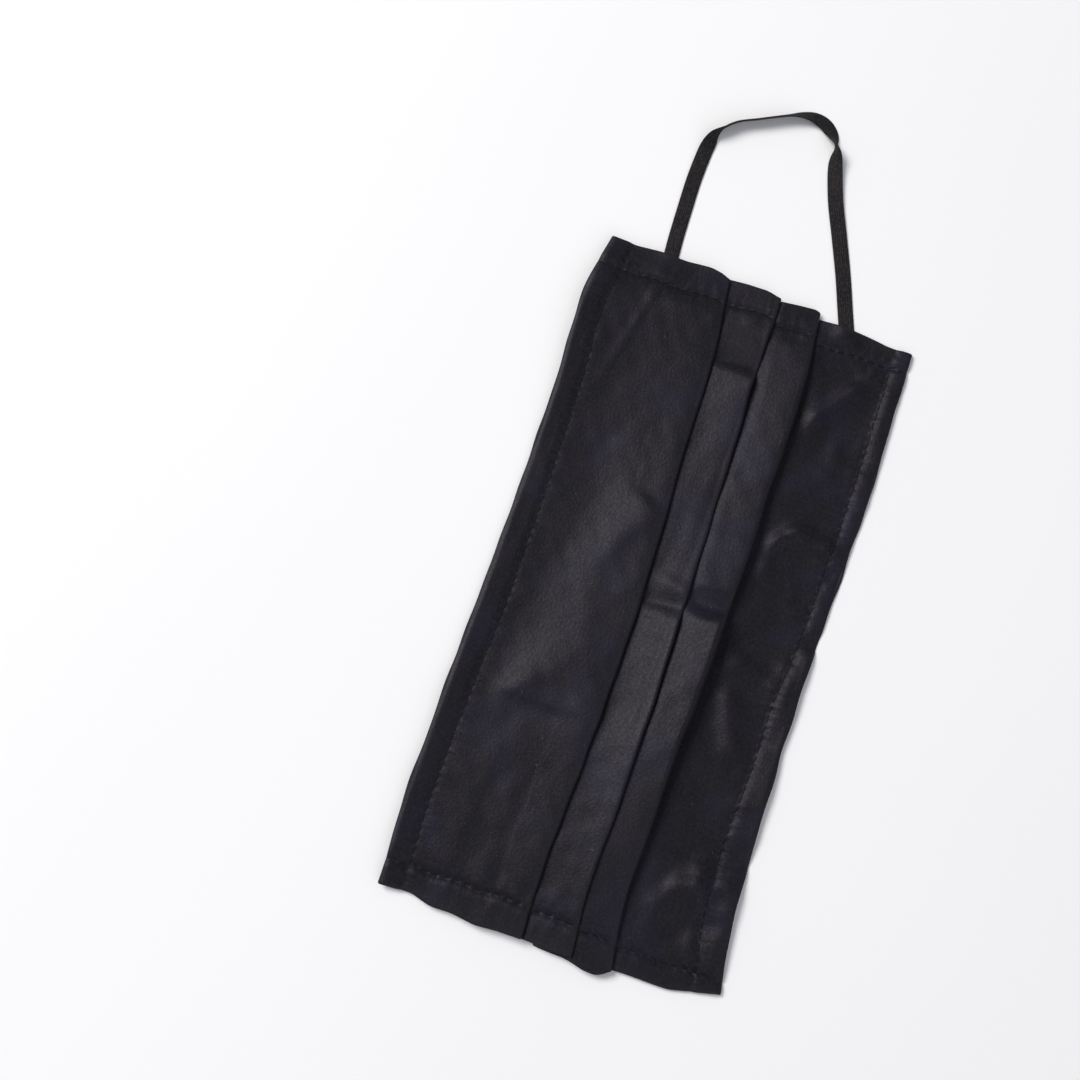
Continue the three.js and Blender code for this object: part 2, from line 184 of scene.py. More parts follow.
def ripple(x, y, seed, short, long, count=14, angle=None, spread=math.pi):
    """Smooth cloth-like unevenness of about unit height: waves of many directions."""
    rng = np.random.default_rng(seed)
    out = np.zeros(np.broadcast(x, y).shape)
    for _ in range(count):
        wl = math.exp(rng.uniform(math.log(short), math.log(long)))
        a = rng.uniform(-spread, spread) if angle is None else angle + rng.uniform(-spread, spread)
        k = 2 * math.pi / wl
        out += np.cos(k * (x * math.cos(a) + y * math.sin(a)) + rng.uniform(0, 2 * math.pi))
    return out * math.sqrt(2.0 / count)


# ---------------------------------------------------------- relief of the cloth
# Soft folds: raised (or sunk) lines from (x1,y1) to (x2,y2). left and right are
# how far the flanks reach on each side of the line, seen from its start.
FOLDS = [
    # on        x1     y1     x2     y2    high  left right
    ("panel1",  86.0,  26.3,  73.5,  29.3,  0.17, 1.0, 1.5),
    ("panel1",  73.5,  29.3,  56.5,  33.5,  0.14, 1.1, 1.6),
    ("panel1",  80.5,  20.0,  80.5,  10.5,  0.30, 2.5, 2.5),
    ("panel1", -48.0,  27.6, -79.0,  29.8,  0.13, 1.8, 2.8),
    ("panel1", -56.0,  20.5, -80.5,  20.4,  0.18, 2.2, 3.0),
    ("panel1", -78.0,  15.5, -80.5,   8.5, -0.45, 2.4, 2.4),
    ("strip1",  70.2,   5.6,  69.7,  -5.0, -0.40, 3.6, 1.4),
    ("strip1",   1.2,   4.6,   2.4,  -6.4, -0.42, 2.6, 1.2),
    ("strip1",   8.2,   0.5,   7.0,  -4.6,  0.30, 1.8, 2.4),
    ("strip1",  32.0,   3.0,  30.0,  -5.2,  0.12, 1.2, 1.2),
    ("strip1", -58.0,   5.0, -57.0,  -5.5, -0.12, 3.0, 3.0),
    ("strip2",   5.4,  -7.0,   5.6, -18.0, -0.42, 3.0, 1.2),
    ("strip2",  10.2, -10.0,  10.6, -15.5,  0.20, 1.1, 1.1),
    ("strip2", -66.0,  -6.8, -71.0, -15.0, -0.16, 2.6, 2.6),
    ("strip2",  83.0,  -6.5,  82.5, -16.5, -0.20, 1.6, 1.6),
    ("panel4",  20.0, -23.6,  28.6, -25.2,  0.42, 1.8, 2.2),
    ("panel4",  28.6, -25.2,  32.2, -29.5,  0.85, 1.8, 2.4),
    ("panel4",  32.2, -29.5,  30.6, -37.5,  1.00, 2.4, 3.0),
    ("panel4",  24.5, -28.5,  23.5, -40.0, -0.60, 3.0, 3.0),
    ("panel4", -17.0, -25.8, -27.0, -30.0,  0.85, 3.0, 2.8),
    ("panel4", -14.0, -38.5,  -5.0, -38.0,  0.55, 3.4, 3.4),
    ("panel4",  -9.0, -34.5,  -7.0, -26.0,  0.60, 3.0, 3.0),
    ("panel4",  73.8, -32.0,  64.5, -25.0,  1.15, 2.8, 2.2),
    ("panel4",  50.0, -31.0,  57.0, -32.5,  0.35, 3.0, 3.0),
    ("panel4",  -1.5, -26.0,   3.4, -36.5, -0.34, 3.2, 1.6),
    ("panel4",   3.4, -36.5,   4.2, -44.5, -0.60, 3.0, 1.2),
    ("panel4", -57.5, -26.0, -55.5, -44.0, -0.65, 3.4, 1.8),
    ("panel4", -84.0, -23.0, -72.0, -24.6,  0.30, 2.8, 4.0),
    ("panel4", -72.0, -24.6, -66.0, -29.0,  0.50, 3.0, 4.5),
    ("panel4", -65.5, -28.0, -62.5, -38.0,  0.80, 2.2, 3.0),
    ("panel4", -67.0, -33.4, -61.5, -32.2,  0.90, 3.0, 3.0),
    ("panel4", -67.0, -42.0, -60.5, -41.2,  0.80, 2.8, 3.0),
    ("panel4", -82.0, -36.0, -76.0, -35.0,  0.40, 2.6, 3.0),
    ("panel4", -84.0, -42.0, -74.0, -41.5,  0.55, 2.6, 3.0),
    ("panel4", -77.0, -30.0, -73.0, -39.0, -0.40, 2.6, 2.6),
    ("panel4",  79.6, -22.5,  78.0, -29.0, -0.50, 2.2, 2.2),
    ("panel4",  80.5, -20.6,  60.0, -24.6,  0.30, 2.4, 3.0),
    ("panel4",  66.0, -41.0,  74.0, -41.4,  0.45, 2.2, 2.2),
]


def fold_height(panel, x, y):
    z = np.zeros(np.broadcast(x, y).shape)
    for on, x1, y1, x2, y2, high, left, right in FOLDS:
        if on != panel:
            continue
        dx, dy = x2 - x1, y2 - y1
        ln = math.hypot(dx, dy)
        t = ((x - x1) * dx + (y - y1) * dy) / ln
        d = ((y - y1) * dx - (x - x1) * dy) / ln          # + to the left of the line
        w = np.where(d > 0, left, right)
        past = np.maximum(0, np.maximum(-t, t - ln))
        z += high * np.exp(-((d / w) ** 2)) * np.exp(-((past / (1.2 + 0.8 * w)) ** 2))
    return z


def puckers(along, off, seed, length, step, high, inner, outer):
    """Small gathers across a seam. along runs with the seam, off is + into the panel."""
    rng = np.random.default_rng(seed)
    z = np.zeros(np.broadcast(along, off).shape)
    w = rng.uniform(0, step)
    while w < length:
        a = high * rng.uniform(0.35, 1.3) * rng.choice([1.0, 1.0, -0.8])
        width = step * rng.uniform(0.16, 0.34)
        lean = rng.uniform(-0.45, 0.45)
        reach = inner * rng.uniform(0.5, 1.6)
        back = outer * rng.uniform(0.7, 1.3)
        centre = along - length / 2 * 0 - w - lean * off
        fade = np.where(off > 0, np.exp(-((off / reach) ** 2)), np.exp(-((off / back) ** 2)))
        wide = width * (1 + 0.10 * np.abs(off))
        z += a * fade * np.exp(-((centre / wide) ** 2))
        w += step * rng.uniform(0.55, 1.5)
    return z


PUCKER_SEED = dict(panel1=11, strip1=23, strip2=31, panel4=43)


def relief(panel, x, y, s):
    """Height of a visible panel's cloth over its plain shape."""
    nose, chin = column(LINES, "nose", s), column(LINES, "chin", s)
    z = fold_height(panel, x, y)
    far_x, near_x = HEM_X[panel]
    far_x = far_x + 0.25 * np.sin(y * 0.5 + 1.0)
    near_x = near_x + 0.25 * np.sin(y * 0.43 + 2.0)
    seed = PUCKER_SEED[panel]
    for k, off in enumerate((near_x - x, x - far_x)):      # + into the panel from the hem seam
        deep = (0.34, 0.42)[k]
        z -= deep * np.exp(-((off / 0.8) ** 2))
        z -= 0.30 * deep * np.exp(-np.abs(off) / 2.4)
        z += (0.20, 0.28)[k] * ease((-off - 0.4) / 1.8)                   # the turned hem is thicker
        z += (0.10, 0.16)[k] * np.exp(-(((off - 4.2) / 2.6) ** 2))        # the cloth swells past the seam
        z += puckers(y + 46.0, off, seed + k, 92.0, 2.8, (0.10, 0.12)[k], 3.6, 4.5)
    if panel == "panel1":
        off = nose - column(SEAM, "nose", s) - y            # + into the panel
        z -= 0.05 * np.exp(-((off / 1.0) ** 2)) + 0.04 * np.exp(-np.abs(off) / 2.4)
        z += along(CURL, "nose", x) * np.clip(-off / 6.0, 0, 1)
        z -= 0.34 * np.exp(-(((nose - y) / 0.55) ** 2))
        z += puckers(x + 94.0, off, 6, 188.0, 7.5, 0.14, 5.0, 5.0)
    if panel == "panel4":
        off = y - (chin + column(SEAM, "chin", s))
        z -= 0.10 * np.exp(-((off / 0.9) ** 2)) + 0.05 * np.exp(-np.abs(off) / 2.4)
        z += 0.05 * ease((-off - 0.5) / 2.4)
        z += along(CURL, "chin", x) * np.clip((0.6 - off) / 7.6, 0, 1)
        z -= 0.30 * np.exp(-(((y - chin) / 0.5) ** 2))
        z += puckers(x + 94.0, off, 10, 188.0, 7.0, 0.20, 5.0, 6.0)
    calm = 1.0
    z += calm * 0.07 * ripple(x, y, 101 + seed, 16, 40, angle=1.35, spread=0.9)
    z += calm * 0.030 * ripple(x, y, 201 + seed, 4.5, 11)
    return z


def ground(x, y, s):
    tuck = (TUCK["high"] * (1 - ease((x - TUCK["x_full"]) / (TUCK["x_end"] - TUCK["x_full"])))
            * (1 - ease((np.abs(y + 0.6) - TUCK["y_full"]) / (TUCK["y_end"] - TUCK["y_full"]))))
    dome = DOME * (1 - s**4) * (1 - ease((np.abs(y) - 8) / 22))
    exits = sum(h * np.exp(-((y - y0) / 3.6) ** 2) * ease((x - 84.5) / 4.0) for y0, h in ((26.4, 0.30), (-25.3, 0.95)))
    return np.maximum(np.maximum(tuck, dome), exits)


def soft_max(a, b, r):
    top = np.maximum(a, b)
    k = np.maximum(np.minimum(r, top), 1e-6)
    return top + np.maximum(0, k - np.abs(a - b)) ** 2 / (4 * k)


# ------------------------------------------------------------------ body mesh
def spread(a, b, n, end=False):
    return list(np.linspace(a, b, n, endpoint=end))


def v_nodes():
    """Rows of the body from nose edge to chin edge, round the three pleats."""
    rows = []

    def run(panel, line, other, ts):
        rows.extend(("run", panel, line, other, t) for t in ts)

    def turn(line, side, n):
        rows.extend(("turn", line, side, 180.0 * k / n) for k in range(1, n))

    run("panel1", "nose", "fold1", [0, 0.006, 0.013, 0.021] + spread(0.03, 0.20, 14) + spread(0.20, 0.93, 40) + spread(0.93, 1, 7, True))
    turn("fold1", -1, 8)
    run("back1", "fold1", "back1", [0, 0.08, 0.35, 0.7, 1])
    turn("back1", 1, 5)
    run("strip1", "back1", "fold2", [0, 0.12, 0.24, 0.36] + spread(0.43, 0.93, 18) + spread(0.93, 1, 5, True))
    turn("fold2", -1, 8)
    run("back2", "fold2", "back2", [0, 0.08, 0.35, 0.7, 1])
    turn("back2", 1, 5)
    run("strip2", "back2", "fold3", [0, 0.12, 0.24, 0.36] + spread(0.43, 0.9, 17) + spread(0.90, 1, 6, True))
    turn("fold3", -1, 9)
    run("back3", "fold3", "back3", [0, 0.08, 0.35, 0.7, 1])
    turn("back3", 1, 5)
    run("panel4", "back3", "chin", [0, 0.09, 0.18, 0.24] + spread(0.28, 0.78, 24) + spread(0.78, 0.972, 11) + [0.972, 0.981, 0.989, 0.995, 1])
    return rows


def x_at(line, other, t, s):
    f = ENDS[line][0] + (ENDS[other][0] - ENDS[line][0]) * t
    n = ENDS[line][1] + (ENDS[other][1] - ENDS[line][1]) * t
    return f + (n - f) * (s + 1) / 2


def body_grid(s):
    """Middle surface of the cloth: arrays of points, rows along v and columns along s."""
    ln = {k: column(LINES, k, s) for k in ("nose", "fold1", "fold2", "fold3", "chin")}
    waves = dict(nose=0.12, fold1=0.09, fold2=0.09, fold3=0.10, chin=0.16)
    for k, (name, high) in enumerate(waves.items()):
        ln[name] = ln[name] + high * ripple(s * 93, 0 * s, 300 + k, 12, 40)
    for k in (1, 2, 3):
        ln[f"back{k}"] = ln[f"fold{k}"] + 10.0
    x0 = s * 92.0
    ln["back1"] = ln["back1"] + along(PLEATS, "deeper", x0)
    pitch = 0.58 + 0.07 * ease((1 - np.abs(s)) / 0.3)
    low = CLOTH / 2
    slack = {k: along(PLEATS, k, x0) for k in ("fold1", "fold2", "fold3")}
    raised = along(PLEATS, "raised", x0)
    higher = along(PLEATS, "higher", x0)
    rolled = along(PLEATS, "roll", x0)
    rr = dict(fold1=pitch * 0.5, fold2=pitch * 0.5, fold3=pitch * 0.5 + 0.25 * slack["fold3"],
              back1=pitch * 0.5, back2=pitch * 0.5, back3=pitch * 0.5)
    b1, b2, b3 = ln["back1"], ln["back2"], ln["back3"]
    shape = {k: along(NOSE_PANEL, k, x0) for k in ("stand", "lin", "brow", "brow_y", "half_w", "swell", "reach")}

    def shown(panel, x, y, edge):
        """Relief where the panel is in sight, fading out under the fold that covers it."""
        return relief(panel, x, y, s) * ease((edge + 1.5 - y) / 4.0)

    def roll(y, f, deep, reach):
        return -deep * np.exp(-np.maximum(y - f, 0) / reach)

    def panel4(x, y):
        return low + shown("panel4", x, y, ln["fold3"])

    def back3(x, y):
        return low + pitch + 0 * y

    def bed2(y):
        """Middle surface of the third pleat's outer layer before it is rolled or creased."""
        f = ln["fold3"]
        plain = np.where(y <= b3, low + 2 * pitch, low + 2 * pitch * (1 - (y - b3) / (b2 - b3)))
        return plain + slack["fold3"] * (1 - np.clip((y - f) / 14.0, 0, 1)) + raised * ease((b2 - y) / 9)

    def strip2(x, y):
        f = ln["fold3"]
        return bed2(y) + roll(y, f, 0.40 * rolled + 0.06 * slack["fold3"], 1.8) + shown("strip2", x, y, ln["fold2"])

    def bed1(y):
        f = ln["fold2"]
        over = bed2(y) + 2 * pitch
        plain = np.where(y <= b2, over, low + 2 * pitch - (2 * pitch - HOVER) * (y - b2) / (b1 - b2))
        return plain + slack["fold2"] * (1 - np.clip((y - f) / 13.0, 0, 1)) + np.where(y <= b2, higher * (1 - ease((b2 - y) / 8)), higher * ease((b1 - y) / 9))

    def strip1(x, y):
        f = ln["fold2"]
        return bed1(y) + roll(y, f, 0.75 * rolled + 0.05, 2.4) + shown("strip1", x, y, ln["fold1"])

    def back2(x, y):
        return bed2(y) + pitch

    def back1(x, y):
        return bed1(y) + pitch

    def panel1(x, y):
        f = ln["fold1"]
        held = np.where(y <= b1, bed1(y) + 2 * pitch + slack["fold1"] * (1 - ease((y - f - 1.0) / 13.5)),
                        low + shape["stand"] + (2 * pitch + HOVER - shape["stand"]) * (1 - np.clip((y - b1) / shape["reach"], 0, 1)))
        top = ln["nose"] - f
        want = (shape["stand"] + shape["lin"] * (ln["nose"] - y) / top
                + shape["brow"] * (1 - ease((y - shape["brow_y"] + shape["half_w"]) / (2 * shape["half_w"])))
                + shape["swell"] * (1 - ease((y - 7) / 16)))
        return (low + soft_max(held - low, want, 0.8) + roll(y, f, 0.2 * rolled + 0.1 + 0.35 * slack["fold1"], 2.6)
                + relief("panel1", x, y, s))

    height = dict(panel1=panel1, back1=back1, strip1=strip1, back2=back2, strip2=strip2, back3=back3, panel4=panel4)
    after = dict(fold1=("panel1", "back1"), back1=("back1", "strip1"), fold2=("strip1", "back2"),
                 back2=("back2", "strip2"), fold3=("strip2", "back3"), back3=("back3", "panel4"))
    seen = ("panel1", "strip1", "strip2", "panel4")

    def x_of(panel, line, other, t, y):
        """X of every point of a row; the panels in sight follow their own sewn ends."""
        plain = x_at(line, other, t, s)
        if panel not in seen:
            return plain
        far, near = edge_x(EDGE_FAR[panel], y), edge_x(EDGE_NEAR[panel], y)
        return far + (near - far) * (s + 1) / 2

    pts, panels = [], []
    for row in v_nodes():
        if row[0] == "run":
            _, panel, line, other, t = row
            def edge_y(name):
                if name.startswith("fold"):
                    return ln[name] + rr[name]
                if name.startswith("back"):
                    return ln[name] - rr[name]
                return ln[name]
            y = edge_y(line) + (edge_y(other) - edge_y(line)) * t
            x = x_of(panel, line, other, t, y)
            z = height[panel](x, y) + ground(x, y, s)
            panels.append(panel)
        else:
            _, line, side, deg = row
            yc = ln[line] - rr[line] if side > 0 else ln[line] + rr[line]
            a = math.radians(deg)
            y = yc + side * rr[line] * math.sin(a)
            hi_p, lo_p = after[line]
            if side < 0:
                x_hi = x_of(hi_p, line, line, 0, y)
                x_lo = 0.6 * x_hi + 0.4 * x_at(line, line, 0, s)
            else:
                x_lo = x_of(lo_p, line, line, 0, y)
                x_hi = x_at(line, line, 0, s)
            w = (1 - math.cos(a)) / 2
            x = x_hi * (1 - w) + x_lo * w
            hi, lo = (height[p](x, yc) for p in after[line])
            z = ground(x, yc, s) + (hi + lo) / 2 + (hi - lo) / 2 * math.cos(a)
            panels.append(line)
        pts.append(np.stack([x, y, z], axis=-1))
    return np.array(pts), panels          # (rows, columns, 3)


def hem_bow(p, s):
    """The sewn ends aren't straight: small waves in X that die out inside."""
    near = np.exp(-(1 - s) * 93 / 6.0)
    far = np.exp(-(1 + s) * 93 / 6.0)
    wave_n = 0.07 * ripple(p[..., 1], 0 * p[..., 1], 77, 9, 26)
    wave_f = 0.10 * ripple(p[..., 1], 0 * p[..., 1], 78, 9, 26)
    p[..., 0] += near[None, :] * wave_n + far[None, :] * wave_f
    return p


def s_stations():
    """Closer together in the hems than in the middle."""
    a = list(np.linspace(-1.0, -0.86, 27, endpoint=False))
    m = list(np.linspace(-0.86, 0.86, 170, endpoint=False))
    b = list(np.linspace(0.86, 1.0, 28))
    return np.array(a + m + b)


def make_mesh(name, verts, faces, smooth=True):
    me = bpy.data.meshes.new(name)
    me.from_pydata([tuple(v) for v in verts], [], [tuple(f) for f in faces])
    me.validate()
    if smooth:
        me.polygons.foreach_set("use_smooth", [True] * len(me.polygons))
    me.update()
    ob = bpy.data.objects.new(name, me)
    scene.collection.objects.link(ob)
    return ob


def build_body():
    s = s_stations()
    c, panels = body_grid(s)
    c = hem_bow(c, s)
    rows, cols = c.shape[:2]
    dv = np.gradient(c, axis=0)
    du = np.gradient(c, axis=1)
    n = np.cross(dv, du)
    n /= np.linalg.norm(n, axis=-1, keepdims=True) + 1e-12
    if n[2, cols // 2, 2] < 0:
        n = -n
    # Thicker where the cloth is turned under along the nose and chin edges; the end hems are raised in relief()
    # instead.
    x, y = c[..., 0], c[..., 1]
    is_top = np.array([p in ("panel1", "strip1", "strip2", "panel4") for p in panels])[:, None]
    nose, chin = column(LINES, "nose", s)[None, :], column(LINES, "chin", s)[None, :]
    half = np.full((rows, cols), CLOTH / 2)
    thick_nose = ease((column(SEAM, "nose", s)[None, :] - (nose - y)) / 2.0)
    thick_chin = ease((column(SEAM, "chin", s)[None, :] - (y - chin)) / 2.0)
    p1 = np.array([p == "panel1" for p in panels])[:, None]
    p4 = np.array([p == "panel4" for p in panels])[:, None]
    half = half + 0.16 * thick_nose * p1 + 0.16 * thick_chin * p4
    top = c + n * half[..., None]
    bot = c - n * half[..., None]
    # Whatever would sink into the table lies on it instead.
    bot[..., 2] = np.maximum(bot[..., 2], 0.02)
    single = p1 | p4
    top[..., 2] = np.where(single, np.maximum(top[..., 2], bot[..., 2] + 0.42), top[..., 2])

    # Closed tube of cloth round the section: top rows, chin edge, bottom rows, nose edge.
    def edge_rows(t_row, b_row, out):
        ring = []
        for deg in (45, 90, 135):
            a = math.radians(deg)
            mid, r = (t_row + b_row) / 2, (t_row - b_row) / 2
            h = np.linalg.norm(r, axis=-1, keepdims=True)
            ring.append(mid + r * math.cos(a) + out * h * math.sin(a))
        return ring

    chin_out = np.array([0.0, -1.0, 0.0])
    nose_out = np.array([0.0, 1.0, 0.0])
    ring = list(top) + edge_rows(top[-1], bot[-1], chin_out) + list(bot[::-1]) + edge_rows(bot[0], top[0], nose_out)
    ring = np.array(ring)                                   # (M, cols, 3)
    kinds = panels + ["chin"] * 3 + panels[::-1] + ["nose"] * 3
    m = ring.shape[0]
    # Rounded ends: two more columns that pinch each section's wall towards its middle.
    nt = rows
    partner = np.empty(m, int)
    for j in range(nt):
        partner[j] = nt + 3 + (nt - 1 - j)
        partner[nt + 3 + (nt - 1 - j)] = j
    for k in range(3):
        partner[nt + k] = nt + 2 - k
        partner[2 * nt + 3 + k] = 2 * nt + 5 - k

    def cap(col, sign):
        base = ring[:, col]
        mid = (base + base[partner]) / 2
        r = (base - base[partner]) / 2
        h = np.linalg.norm(r, axis=-1, keepdims=True)
        out = np.array([sign, 0.0, 0.0])
        return [mid + r * math.cos(math.radians(d)) + out * np.minimum(h, 0.6) * math.sin(math.radians(d)) for d in (40, 75)]

    far_caps, near_caps = cap(0, -1.0), cap(cols - 1, 1.0)
    full = np.concatenate([far_caps[1][:, None], far_caps[0][:, None], ring, near_caps[0][:, None], near_caps[1][:, None]], axis=1)
    ncol = full.shape[1]
    verts = full.reshape(-1, 3) * MM
    idx = np.arange(m * ncol).reshape(m, ncol)
    a = idx
    b = np.roll(idx, -1, axis=0)
    quads = np.stack([a[:, :-1], b[:, :-1], b[:, 1:], a[:, 1:]], axis=-1).reshape(-1, 4)
    ends = []
    order = list(range(nt))
    for col, flip in ((0, False), (ncol - 1, True)):
        # bridge top row j to its bottom partner
        strip = []
        seq = [2 * nt + 4] + order + [nt + 1]      # middle nose vertex, top rows, middle chin vertex
        for p, q in zip(seq[:-1], seq[1:]):
            pp, qq = partner[p], partner[q]
            f = []
            for v in (p, q, qq, pp):
                w = int(idx[v, col])
                if w not in f:
                    f.append(w)
            if len(f) >= 3:
                strip.append(f if flip else f[::-1])
        ends += strip
    # slivers: nose edge rows beside the middle vertex
    for col, flip in ((0, False), (ncol - 1, True)):
        for tri in ((nt - 1, nt, nt + 1, nt + 2, nt + 3), (2 * nt + 2, 2 * nt + 3, 2 * nt + 4, 2 * nt + 5, 0)):
            f = [int(idx[v, col]) for v in tri]
            # fan: (last top, e0, mid) and (mid, e2, first bottom)
            t1, t2 = [f[0], f[1], f[2]], [f[2], f[3], f[4]]
            for t in (t1, t2):
                ends.append(t if flip else t[::-1])
    faces = [list(q) for q in quads] + ends
    ob = make_mesh("mask_cloth", verts, faces)
    import bmesh
    bm = bmesh.new()
    bm.from_mesh(ob.data)
    bmesh.ops.recalc_face_normals(bm, faces=bm.faces)
    bm.to_mesh(ob.data)
    bm.free()
    # Lay of the weave: unfolded coordinates in millimetres, kept as a UV map.
    step_v = np.linalg.norm(np.diff(c[:, cols // 2], axis=0), axis=-1)
    v_len = np.concatenate([[0], np.cumsum(step_v)])
    v_all = np.concatenate([v_len, [v_len[-1] + 0.3] * 3, v_len[::-1] + 0.0, [-0.3] * 3])
    side = np.concatenate([np.zeros(rows + 3), np.ones(rows + 3)])
    u_all = full[..., 0]
    uvw = np.stack([(u_all + 100) / 400.0 + 0 * u_all, np.repeat(v_all[:, None], ncol, 1) / 400.0 + side[:, None] * 0.5], -1).reshape(-1, 2)
    layer = ob.data.uv_layers.new(name="weave")
    loops = np.empty(len(ob.data.loops), int)
    ob.data.loops.foreach_get("vertex_index", loops)
    layer.data.foreach_set("uv", uvw[loops].ravel())
    # Wear and painted highlight: paler along the folded edges and the sewn edges; the nose edge is painted more than
    # twice as pale (2.2) as a painted highlight of its lit rolled rim.
    wear_and_rim_highlight = np.zeros((m, ncol))
    for j, kind in enumerate(kinds):
        if kind in ("fold1", "fold2", "fold3"):
            wear_and_rim_highlight[j] = 1.0
        # Nose edge 2.2 against chin 1.0: the extra paleness is a painted highlight of the lit nose rim, on top of wear.
        if kind in ("nose", "chin"):
            wear_and_rim_highlight[j] = 2.2 if kind == "nose" else 1.0
    yy = full[..., 1]
    s_full = np.concatenate([[-1, -1], s, [1, 1]])
    # Same painted rim highlight beside the nose edge: 2.2 against 1.0 for the chin.
    for name, reach in (("nose", 0.7), ("chin", 0.9)):
        wear_and_rim_highlight = np.maximum(wear_and_rim_highlight, (2.2 if name == "nose" else 1.0) * np.exp(-np.abs(column(LINES, name, s_full)[None, :] - yy) / reach))
    for name, panel in (("fold1", "panel1"), ("fold2", "strip1"), ("fold3", "strip2")):
        on = np.array([k == panel for k in kinds])[:, None]
        wear_and_rim_highlight = np.maximum(wear_and_rim_highlight, on * np.exp(-np.abs(column(LINES, name, s_full)[None, :] - yy) / 1.1))
    wear_and_rim_highlight = np.maximum(wear_and_rim_highlight, np.exp(-(1 - np.abs(s_full)) * 93 / 0.8)[None, :])
    kinds_a = np.array(kinds)
    xx = full[..., 0]
    off_h = np.full((m, ncol), 20.0)
    on1, on4 = np.isin(kinds_a, ("panel1", "nose"))[:, None], np.isin(kinds_a, ("panel4", "chin"))[:, None]
    seam_nose = column(LINES, "nose", s_full) - column(SEAM, "nose", s_full)
    seam_chin = column(LINES, "chin", s_full) + column(SEAM, "chin", s_full)
    off_h = np.where(on1, yy - seam_nose[None, :], off_h)
    off_h = np.where(on4, yy - seam_chin[None, :], off_h)
    off_v = np.full((m, ncol), 20.0)
    for name, (a, b) in HEM_X.items():
        on = (kinds_a == name)[:, None]
        off_v = np.where(on, np.minimum(np.abs(xx - b), np.abs(xx - a)), off_v)
    for name, data in (("wear_and_rim_highlight", wear_and_rim_highlight), ("off_h", np.clip(off_h, -20, 20)), ("off_v", np.clip(off_v, -20, 20))):
        att = ob.data.attributes.new(name, "FLOAT", "POINT")
        att.data.foreach_set("value", data.ravel().astype(np.float32))
    return ob


# ------------------------------------------------------------------ ear loops
BAND_W, BAND_T = 4.2, 0.62
OPEN_LOOP = [  # x, y, turn of the band about its line: 0 flat, 90 on its inner edge
    (91.2, 26.3, 0), (95.0, 26.45, 0), (100.8, 26.8, 0), (109.4, 27.1, 2), (117.2, 27.3, 3), (123.6, 27.1, 5),
    (127.4, 26.8, 14), (130.2, 26.1, 42), (132.6, 25.0, 84), (134.6, 23.6, 108), (137.0, 21.0, 112), (139.7, 15.6, 113),
    (141.9, 11.2, 114), (143.7, 7.4, 119), (145.0, 4.0, 137), (145.5, 0.8, 158), (144.8, -2.2, 168),
    (142.8, -4.6, 160), (140.4, -6.2, 128), (138.5, -7.1, 88), (136.4, -7.8, 50), (133.5, -8.6, 26), (129.0, -10.0, 14),
    (123.6, -11.9, 8), (115.1, -15.5, 3), (104.5, -19.9, 0), (95.4, -23.3, 0), (91.4, -24.8, 0), (87.6, -26.2, 0),
]


def tucked_route():
    x, y_nose, y_chin, leg = -89.5, 26.6, -24.2, 24.0
    mid, r = (y_nose + y_chin) / 2, (y_nose - y_chin) / 2
    pts = [(x, y_nose, 0), (x + 0.5 * leg, y_nose, 0)]
    pts += [(x + leg + r * math.cos(a), mid + r * math.sin(a), 0) for a in np.pi * (0.5 - np.arange(13) / 12)]
    return pts + [(x + 0.5 * leg, y_chin, 0), (x, y_chin, 0)]


def smooth_path(rows, step):
    """Centripetal Catmull-Rom through the rows, resampled every step."""
    p = np.array([r[:2] for r in rows], float)
    turn = np.array([r[2] for r in rows], float)
    p = np.vstack([2 * p[0] - p[1], p, 2 * p[-1] - p[-2]])
    turn = np.concatenate([[turn[0]], turn, [turn[-1]]])
    out = []
    for i in range(1, len(p) - 2):
        q = [np.array([*p[k], turn[k] / 12.0]) for k in (i - 1, i, i + 1, i + 2)]
        t = [0.0]
        for k in range(3):
            t.append(t[-1] + max(np.linalg.norm(q[k + 1][:2] - q[k][:2]), 1e-6) ** 0.5)
        for tt in np.linspace(t[1], t[2], 24, endpoint=False):
            a = [(t[k + 1] - tt) / (t[k + 1] - t[k]) * q[k] + (tt - t[k]) / (t[k + 1] - t[k]) * q[k + 1] for k in range(3)]
            b = [(t[k + 2] - tt) / (t[k + 2] - t[k]) * a[k] + (tt - t[k]) / (t[k + 2] - t[k]) * a[k + 1] for k in range(2)]
            out.append((t[2] - tt) / (t[2] - t[1]) * b[0] + (tt - t[1]) / (t[2] - t[1]) * b[1])
    out.append(np.array([*p[-2], turn[-2] / 12.0]))
    out = np.array(out)
    d = np.concatenate([[0], np.cumsum(np.linalg.norm(np.diff(out[:, :2], axis=0), axis=1))])
    n = int(round(d[-1] / step))
    at = np.linspace(0, d[-1], n + 1)
    return np.stack([np.interp(at, d, out[:, k]) for k in range(3)], -1) * [1, 1, 12.0], at


